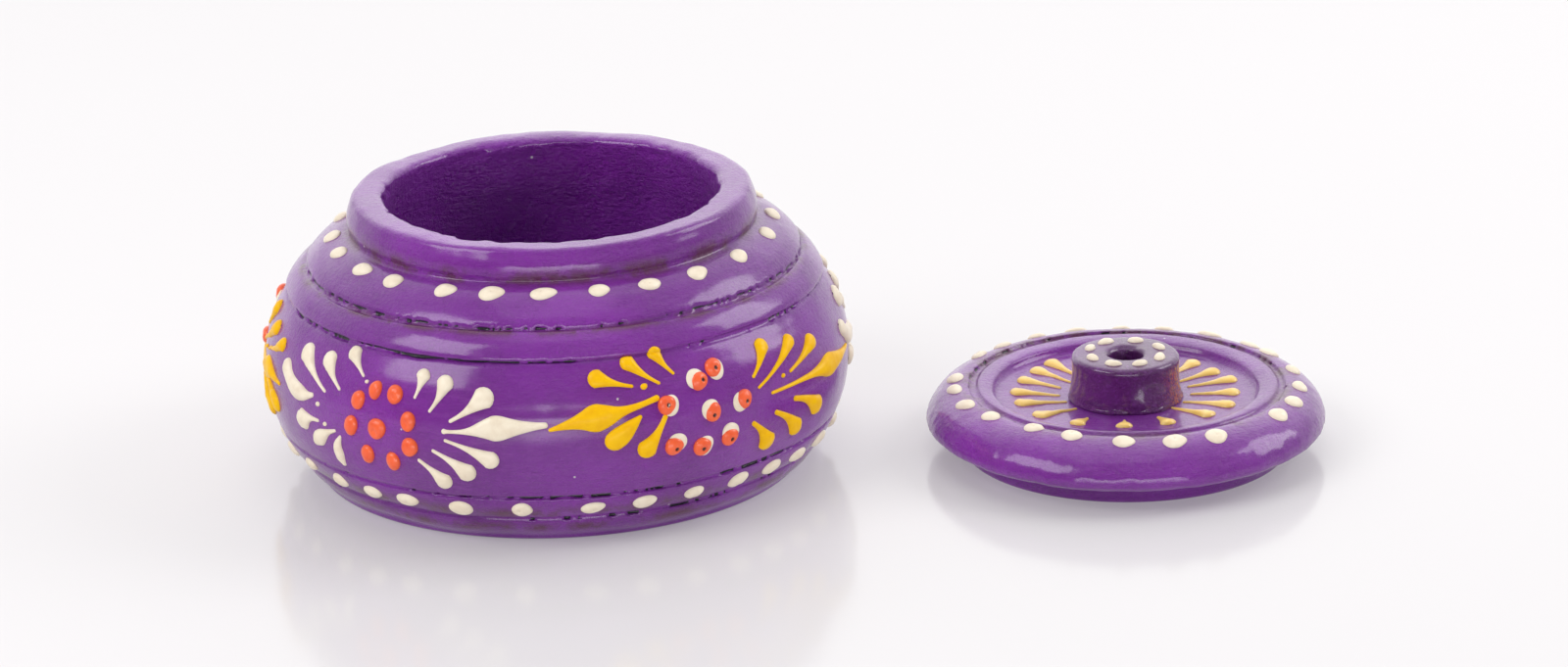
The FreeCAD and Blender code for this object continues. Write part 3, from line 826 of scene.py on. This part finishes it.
def dot_row(surface, centre, node, name, body, size, home_shift, turn, seed):
    """One row of cream dots, one at each solid of a CAD node."""
    painter = Painter(surface, 1, seed)
    for place in islands(node):
        azimuth, radius = polar(place, centre)
        along = surface.nearest_along(radius, place[2])
        stretch = chance.uniform(0.85, 1.12, 2)
        home = (azimuth + chance.uniform(-0.012, 0.012), along + home_shift(azimuth))
        oval = (size[0] * stretch[0], size[1] * stretch[1])
        pit = (chance.uniform(-0.3, 0.3), chance.uniform(-0.4, 0.2), 0.35, 0.18, 0.45)
        painter.dot(home, oval, turn(azimuth) + chance.uniform(-0.15, 0.15), DOT_HEIGHT,
                    pit if chance.random() < 0.35 else None, point=chance.uniform(0, 0.5))
    painter.finish(name, CREAM, node, body, "cream_paint")


dot_row(pot_surface, POT_CENTRE, "shoulder_dots", "shoulder_dots_piped", "pot", (1.95, 1.6),
        no_inward, lambda a: 0.35 if a < -0.3 else 0.0, 21)
dot_row(pot_surface, POT_CENTRE, "foot_dots", "foot_dots_piped", "pot", (1.95, 1.45),
        no_inward, lambda a: -0.1 if a < 0.1 else 0.1, 22)


# --- motifs round the belly ----------------------------------------------------------------
# Each stroke is a spine of (right, up, half width) points from its tail to its head.
def drop(tail, head, width, bend=0.0, tail_width=0.3):
    """A drop: a thin tail that swells late into a round head. bend bows it to its left."""
    tail, head = np.array(tail), np.array(head)
    way = head - tail
    left = np.array([-way[1], way[0]])
    spine = []
    for t in np.linspace(0, 1, 8):
        place = tail + way * t + left * bend * math.sin(math.pi * t)
        spine.append((*place, tail_width + (width - tail_width) * t ** 2.4))
    return spine


CREAM_STROKES = [
    drop((7.1, 6.3), (8.1, 9.9), 1.5, -0.03),
    drop((10.1, 4.4), (12.4, 9.0), 1.6, -0.05),
    drop((13.9, 3.1), (19.3, 7.1), 1.75, -0.03),
    [(12.8, 1.3, 0.5), (13.4, 1.3, 0.3), (16.6, 1.5, 0.45), (19.6, 2.1, 1.6), (21.6, 2.3, 2.5),
     (25.0, 2.5, 1.3), (28.0, 2.7, 0.7), (29.6, 2.8, 0.55)],
    drop((13.0, -0.2), (20.4, -3.1), 1.65, 0.03),
    drop((10.8, -2.2), (16.3, -5.5), 1.6, 0.04),
    drop((8.1, -4.2), (12.1, -7.5), 1.45, 0.03),
    drop((-4.3, 8.2), (-7.5, 11.3), 1.6, 0.03),
    drop((-9.3, 4.9), (-13.3, 8.9), 1.7, 0.05),
    drop((-12.9, 3.7), (-20.2, 8.5), 1.85, 0.03),
    [(-16.2, 2.2, 0.45), (-17.5, 1.8, 0.7), (-19.5, 1.6, 1.5), (-22.0, 1.8, 1.7), (-24.5, 3.2, 1.2),
     (-26.0, 4.6, 1.4)],
    [(-14.4, -1.8, 0.3), (-16.2, -1.9, 0.4), (-17.6, -2.2, 0.9), (-18.8, -2.7, 1.9), (-19.4, -2.9, 1.6)],
    [(-9.9, -2.5, 0.3), (-11.8, -3.2, 0.5), (-13.6, -4.3, 1.3), (-14.8, -5.2, 1.5), (-15.2, -5.6, 1.0)],
    [(-8.6, -3.3, 0.3), (-9.6, -5.0, 0.9), (-9.4, -6.8, 1.1), (-8.9, -8.4, 0.45)],
]
CREAM_BEADS = [(-14.4, 1.1, 0.45), (-12.4, -1.9, 0.4), (-3.2, 7.4, 0.35)]
CREAM_RING = [(-4.4, 4.1), (-0.9, 6.4), (3.2, 6.3), (6.2, 2.2), (6.5, -2.1), (3.0, -5.2), (-2.3, -4.9),
              (-5.7, -0.5), (0.0, 0.0)]
YELLOW_STROKES = [
    drop((-13.4, 6.1), (-19.2, 7.9), 1.55, 0.02),
    drop((-8.6, 6.0), (-13.5, 10.0), 1.4, 0.03),
    drop((-5.7, 7.2), (-8.3, 11.0), 1.4, 0.04),
    [(-9.4, 3.6, 0.5), (-12.0, 2.9, 0.45), (-15.5, 2.2, 0.7), (-18.2, 1.7, 1.8), (-20.2, 1.5, 2.3),
     (-22.8, 1.1, 1.1), (-25.5, 0.5, 0.55), (-27.4, 0.0, 0.3)],
    [(-12.6, 0.9, 0.4), (-14.0, -0.2, 1.1), (-15.8, -1.7, 1.8), (-17.0, -2.5, 1.8)],
    drop((-8.3, 0.3), (-11.7, -4.5), 1.7, 0.03, 0.45),
    drop((9.9, 3.3), (13.6, 7.6), 1.35, -0.05),
    drop((10.6, 1.2), (20.6, 6.6), 1.35, -0.03),
    drop((18.7, 1.8), (26.4, 4.6), 1.35, -0.03),
    [(13.4, -0.5, 0.3), (20.0, -0.5, 0.35), (26.5, -0.7, 0.7), (30.5, -0.9, 2.2), (33.5, -1.0, 1.4),
     (38.0, -1.2, 0.6), (42.0, -1.3, 0.35)],
    drop((18.9, -3.1), (25.2, -6.2), 1.8, 0.06, 0.5),
    drop((13.9, -4.1), (19.1, -8.2), 1.8, 0.06, 0.5),
    drop((8.6, -4.6), (11.8, -8.6), 1.8, 0.06, 0.45),
]
YELLOW_BEADS = [(-11.3, 5.8, 0.55), (16.6, 1.6, 0.4)]
# (right, up) of each cream dot, and how far its orange dot is shifted on it
YELLOW_RING = [((-1.9, 5.6), (0.55, -0.5)), ((2.5, 6.3), (-0.5, 0.45)), ((-7.2, 2.0), (-0.6, 0.2)),
               ((6.3, -0.1), (0.6, 0.3)), ((3.6, -4.8), (-0.2, -0.7)), ((-1.5, -6.0), (-0.5, 0.0)),
               ((-6.5, -4.5), (-0.6, -0.4)), ((0.0, 0.0), (0.35, -0.5))]


HAND_VARIATION = 0.45   # how far a repeated motif strays from the front one, mm
MOTIF_GAP = 0.8         # each motif stays this far from the line half-way to the next, mm
YELLOW_UP = 2.0         # the yellow motifs sit a little higher
CREAM_DOTS_IN_RING = 9
YELLOW_DOTS_IN_RING = 8


def wrapped(angle):
    """The same angle, from -pi to pi."""
    return (angle + math.pi) % (2 * math.pi) - math.pi


def motif_centres(node, count):
    """The azimuth of the centre of each motif, from the count dots of its ring."""
    turns = sorted(polar(p, POT_CENTRE)[0] % (2 * math.pi) for p in islands(node))
    gaps = [(b - a) % (2 * math.pi) for a, b in zip(turns, turns[1:] + turns[:1])]
    start = (int(np.argmax(gaps)) + 1) % len(turns)
    turns = turns[start:] + turns[:start]
    groups = [turns[i:i + count] for i in range(0, len(turns), count)]
    return sorted(wrapped(sum(wrapped(t - g[0]) for t in g) / count + g[0]) for g in groups)


def nearest_to(centres, degrees):
    return min(centres, key=lambda azimuth: abs(azimuth - math.radians(degrees)))


cream_centres = motif_centres("orange_dots", CREAM_DOTS_IN_RING)
yellow_centres = motif_centres("orange_over_dots", YELLOW_DOTS_IN_RING)
all_centres = sorted(cream_centres + yellow_centres)
FRONT_CREAM = nearest_to(cream_centres, -34)
FRONT_YELLOW = nearest_to(yellow_centres, 32)
belly_along = pot_surface.nearest_along(BELLY_R, 20.0, 0, pot_surface.marks["neck foot"])


def varied(spine, amount):
    """A stroke again, as the same hand would pipe it the next time."""
    shift = chance.uniform(-amount, amount, 2)
    swell = 1 + chance.uniform(-0.12, 0.12)
    return [(r + shift[0] + chance.uniform(-amount, amount) / 2,
             u + shift[1] + chance.uniform(-amount, amount) / 2, w * swell) for r, u, w in spine]


def fitted(spine, half_gap):
    """Keeps a long stroke short of the line half-way to the next motif."""
    reach = max(abs(r) for r, _, _ in spine)
    squeeze = min(1.0, half_gap / reach)
    return [(r * squeeze, u, w) for r, u, w in spine]


def limits_of(centres, front, front_reach):
    """How far the strokes of each motif may reach to its right and left, in mm."""
    found = []
    for azimuth in centres:
        i = all_centres.index(azimuth)
        right = (all_centres[(i + 1) % len(all_centres)] - azimuth) % (2 * math.pi)
        left = (azimuth - all_centres[i - 1]) % (2 * math.pi)
        reach = [gap * BELLY_R / 2 - MOTIF_GAP for gap in (right, left)]
        found.append(front_reach if azimuth == front else reach)
    return found


def paint_strokes(centres, front, front_reach, strokes, beads, painter, along):
    for azimuth, (right_limit, left_limit) in zip(centres, limits_of(centres, front, front_reach)):
        amount = 0.0 if azimuth == front else HAND_VARIATION
        for spine in strokes:
            side = right_limit if spine[-1][0] > 0 else left_limit
            painter.stroke((azimuth, along), fitted(varied(spine, amount), side), STROKE_HEIGHT)
        for right, up, size in beads:
            painter.dot((azimuth, along), (size * 1.2, size), 0.0, BEAD_HEIGHT, at=(right, up))


def paint_cream_strokes():
    painter = Painter(pot_surface, 1, 31)
    paint_strokes(cream_centres, FRONT_CREAM, (30.0, 30.0), CREAM_STROKES, CREAM_BEADS,
                  painter, belly_along)
    painter.finish("cream_strokes_piped", CREAM, "cream_petals", "pot", "cream_paint")


def paint_yellow_strokes():
    painter = Painter(pot_surface, 1, 32)
    paint_strokes(yellow_centres, FRONT_YELLOW, (42.0, 28.0), YELLOW_STROKES, YELLOW_BEADS,
                  painter, belly_along + YELLOW_UP)
    painter.finish("yellow_strokes_piped", YELLOW, "yellow_petals", "pot", "yellow_paint")


def paint_orange_dots():
    """The orange dots in the middle of each cream motif."""
    painter = Painter(pot_surface, 1, 33)
    for azimuth in cream_centres:
        for place in CREAM_RING:
            if place == (0.0, 0.0):
                size = (1.8, 1.85)
            else:
                size = (1.4 * chance.uniform(0.92, 1.08), 1.75 * chance.uniform(0.92, 1.06))
            pit = (chance.uniform(-0.3, 0.3), chance.uniform(-0.6, 0.0), 0.5, 0.3, 0.3)
            painter.dot((azimuth, belly_along), size, chance.uniform(-0.15, 0.25), ORANGE_HEIGHT,
                        pit if chance.random() < 0.55 else None, at=place)
    painter.finish("orange_dots_piped", ORANGE, "orange_dots", "pot", "orange_paint")


def paint_double_dots():
    """The middle of each yellow motif: cream dots, with an orange dot on each."""
    under = Painter(pot_surface, 1, 34)
    over = Painter(pot_surface, 1, 35)
    for azimuth in yellow_centres:
        home = (azimuth, belly_along + YELLOW_UP)
        for place, shift in YELLOW_RING:
            under.dot(home, (1.7, 1.75), chance.uniform(-0.3, 0.3), UNDER_HEIGHT, at=place)
            top = (place[0] + shift[0], place[1] + shift[1])
            pit = (chance.uniform(-0.2, 0.6), chance.uniform(-0.5, 0.1), 0.4, 0.4, 1.0)
            over.dot(home, (1.6, 1.65), chance.uniform(-0.3, 0.3), OVER_HEIGHT, pit, at=top)
    under.finish("cream_under_dots_piped", CREAM, "cream_under_dots", "pot", "cream_paint")
    over.finish("orange_over_dots_piped", ORANGE, "orange_over_dots", "pot", "orange_paint")


paint_cream_strokes()
paint_yellow_strokes()
paint_orange_dots()
paint_double_dots()


# --- paint on the lid ----------------------------------------------------------------------
dot_row(lid_surface, LID_CENTRE, "lid_rim_dots", "lid_rim_dots_piped", "lid", (1.95, 1.35),
        lid_dots_inward, lambda a: 0.0, 41)
dot_row(knob_surface, LID_CENTRE, "knob_dots", "knob_dots_piped", "lid", (1.35, 1.0),
        no_inward, lambda a: 0.0, 42)


STROKE_CIRCLE = 15.0
STROKES_BACK = 1.5    # the whole ring of strokes was piped a little behind the lid's middle


def paint_lid_strokes():
    painter = Painter(lid_surface, -1, 43)
    for place in islands("lid_strokes"):
        azimuth, _ = polar(place, LID_CENTRE)
        short = abs(azimuth) < 0.6
        azimuth += STROKES_BACK / STROKE_CIRCLE * math.sin(azimuth)
        circle = STROKE_CIRCLE - STROKES_BACK * math.cos(azimuth)
        home = (azimuth, lid_surface.nearest_along(circle, 9.3, lid_surface.marks["panel edge"]))
        tail = -1.0 if short else -4.0 + chance.uniform(-0.4, 0.4)
        head = 2.6 if short else 3.9 + chance.uniform(-0.5, 0.5)
        lean = chance.uniform(-0.6, 0.6)
        spine = [(lean * 0.4, tail, 0.32), (lean * 0.1, 0.4, 0.52), (0.0, head, 1.25)]
        painter.stroke(home, spine, DOT_HEIGHT)
    painter.finish("lid_strokes_piped", PALE_YELLOW, "lid_strokes", "lid", "yellow_paint")


paint_lid_strokes()


# --- stage, lights and camera --------------------------------------------------------------
FRONT_WALL, BACK_WALL = 0.27, 2.3   # brightness of the light tent's cloth
LOW_CLOTH = 0.6                     # how much of it is left near the floor


def floor():
    s = Shader("white_sheet")
    s.finish(base_color=rgb(0.527, 0.517, 0.522), roughness=0.14, specular_ior_level=0.17,
             emission_color=rgb(1.0, 0.985, 0.99), emission_strength=0.226)
    bpy.ops.mesh.primitive_plane_add(size=12.0, location=(0, 0, 0))
    plane = bpy.context.object
    plane.name = "floor"
    plane.data.materials.append(s.material)


def area_light(name, at, aim, size, power):
    data = bpy.data.lights.new(name, "AREA")
    data.shape = "RECTANGLE"
    data.size, data.size_y = size
    data.energy = power
    light = bpy.data.objects.new(name, data)
    light.location = at
    light.rotation_euler = (Vector(aim) - Vector(at)).to_track_quat("-Z", "Y").to_euler()
    bpy.context.scene.collection.objects.link(light)


def lights():
    middle = (0.05, 0.0, 0.02)
    area_light("left_box", (-0.68, -0.42, 0.68), middle, (0.65, 0.45), 4.4)
    area_light("right_box", (1.02, 0.14, 0.66), middle, (0.6, 0.6), 5.2)
    area_light("top_box", (0.0, 0.0, 1.3), middle, (1.2, 0.8), 1.8)
    area_light("front_sheet", (0.05, -1.3, 0.12), middle, (1.4, 0.3), 6.0)


def light_tent():
    """Cloth all round: dim at the front, bright at the back, and darker near the floor."""
    world = bpy.data.worlds.new("light_tent")
    world.use_nodes = True
    n = Nodes(world.node_tree)
    direction = n.node("ShaderNodeTexCoord").outputs["Generated"]
    split = n.node("ShaderNodeSeparateXYZ", {"Vector": direction})
    depth = n.math("POWER", n.ramp(split.outputs["Y"], -1.0, 1.0), 3.0)
    bright = n.ramp(depth, 0.0, 1.0, FRONT_WALL, BACK_WALL)
    low = n.ramp(split.outputs["Z"], 0.22, 0.42, LOW_CLOTH, 1.0)
    background = n.tree.nodes["Background"]
    background.inputs["Color"].default_value = rgb(1.0, 0.985, 0.995)
    n.set(background.inputs["Strength"], n.math("MULTIPLY", bright, low))
    bpy.context.scene.world = world


def camera():
    data = bpy.data.cameras.new("camera")
    data.lens = CAMERA_LENS
    data.sensor_width = 36.0
    made = bpy.data.objects.new("camera", data)
    tilt = Matrix.Rotation(math.radians(90 - CAMERA_PITCH), 4, "X")
    roll = Matrix.Rotation(math.radians(CAMERA_ROLL), 4, "Z")
    made.matrix_world = Matrix.Translation(Vector(CAMERA_AT) * MM) @ tilt @ roll
    bpy.context.scene.collection.objects.link(made)
    bpy.context.scene.camera = made


floor()
lights()
light_tent()
camera()
bpy.context.scene.view_settings.view_transform = "Standard"

bpy.context.view_layer.update()
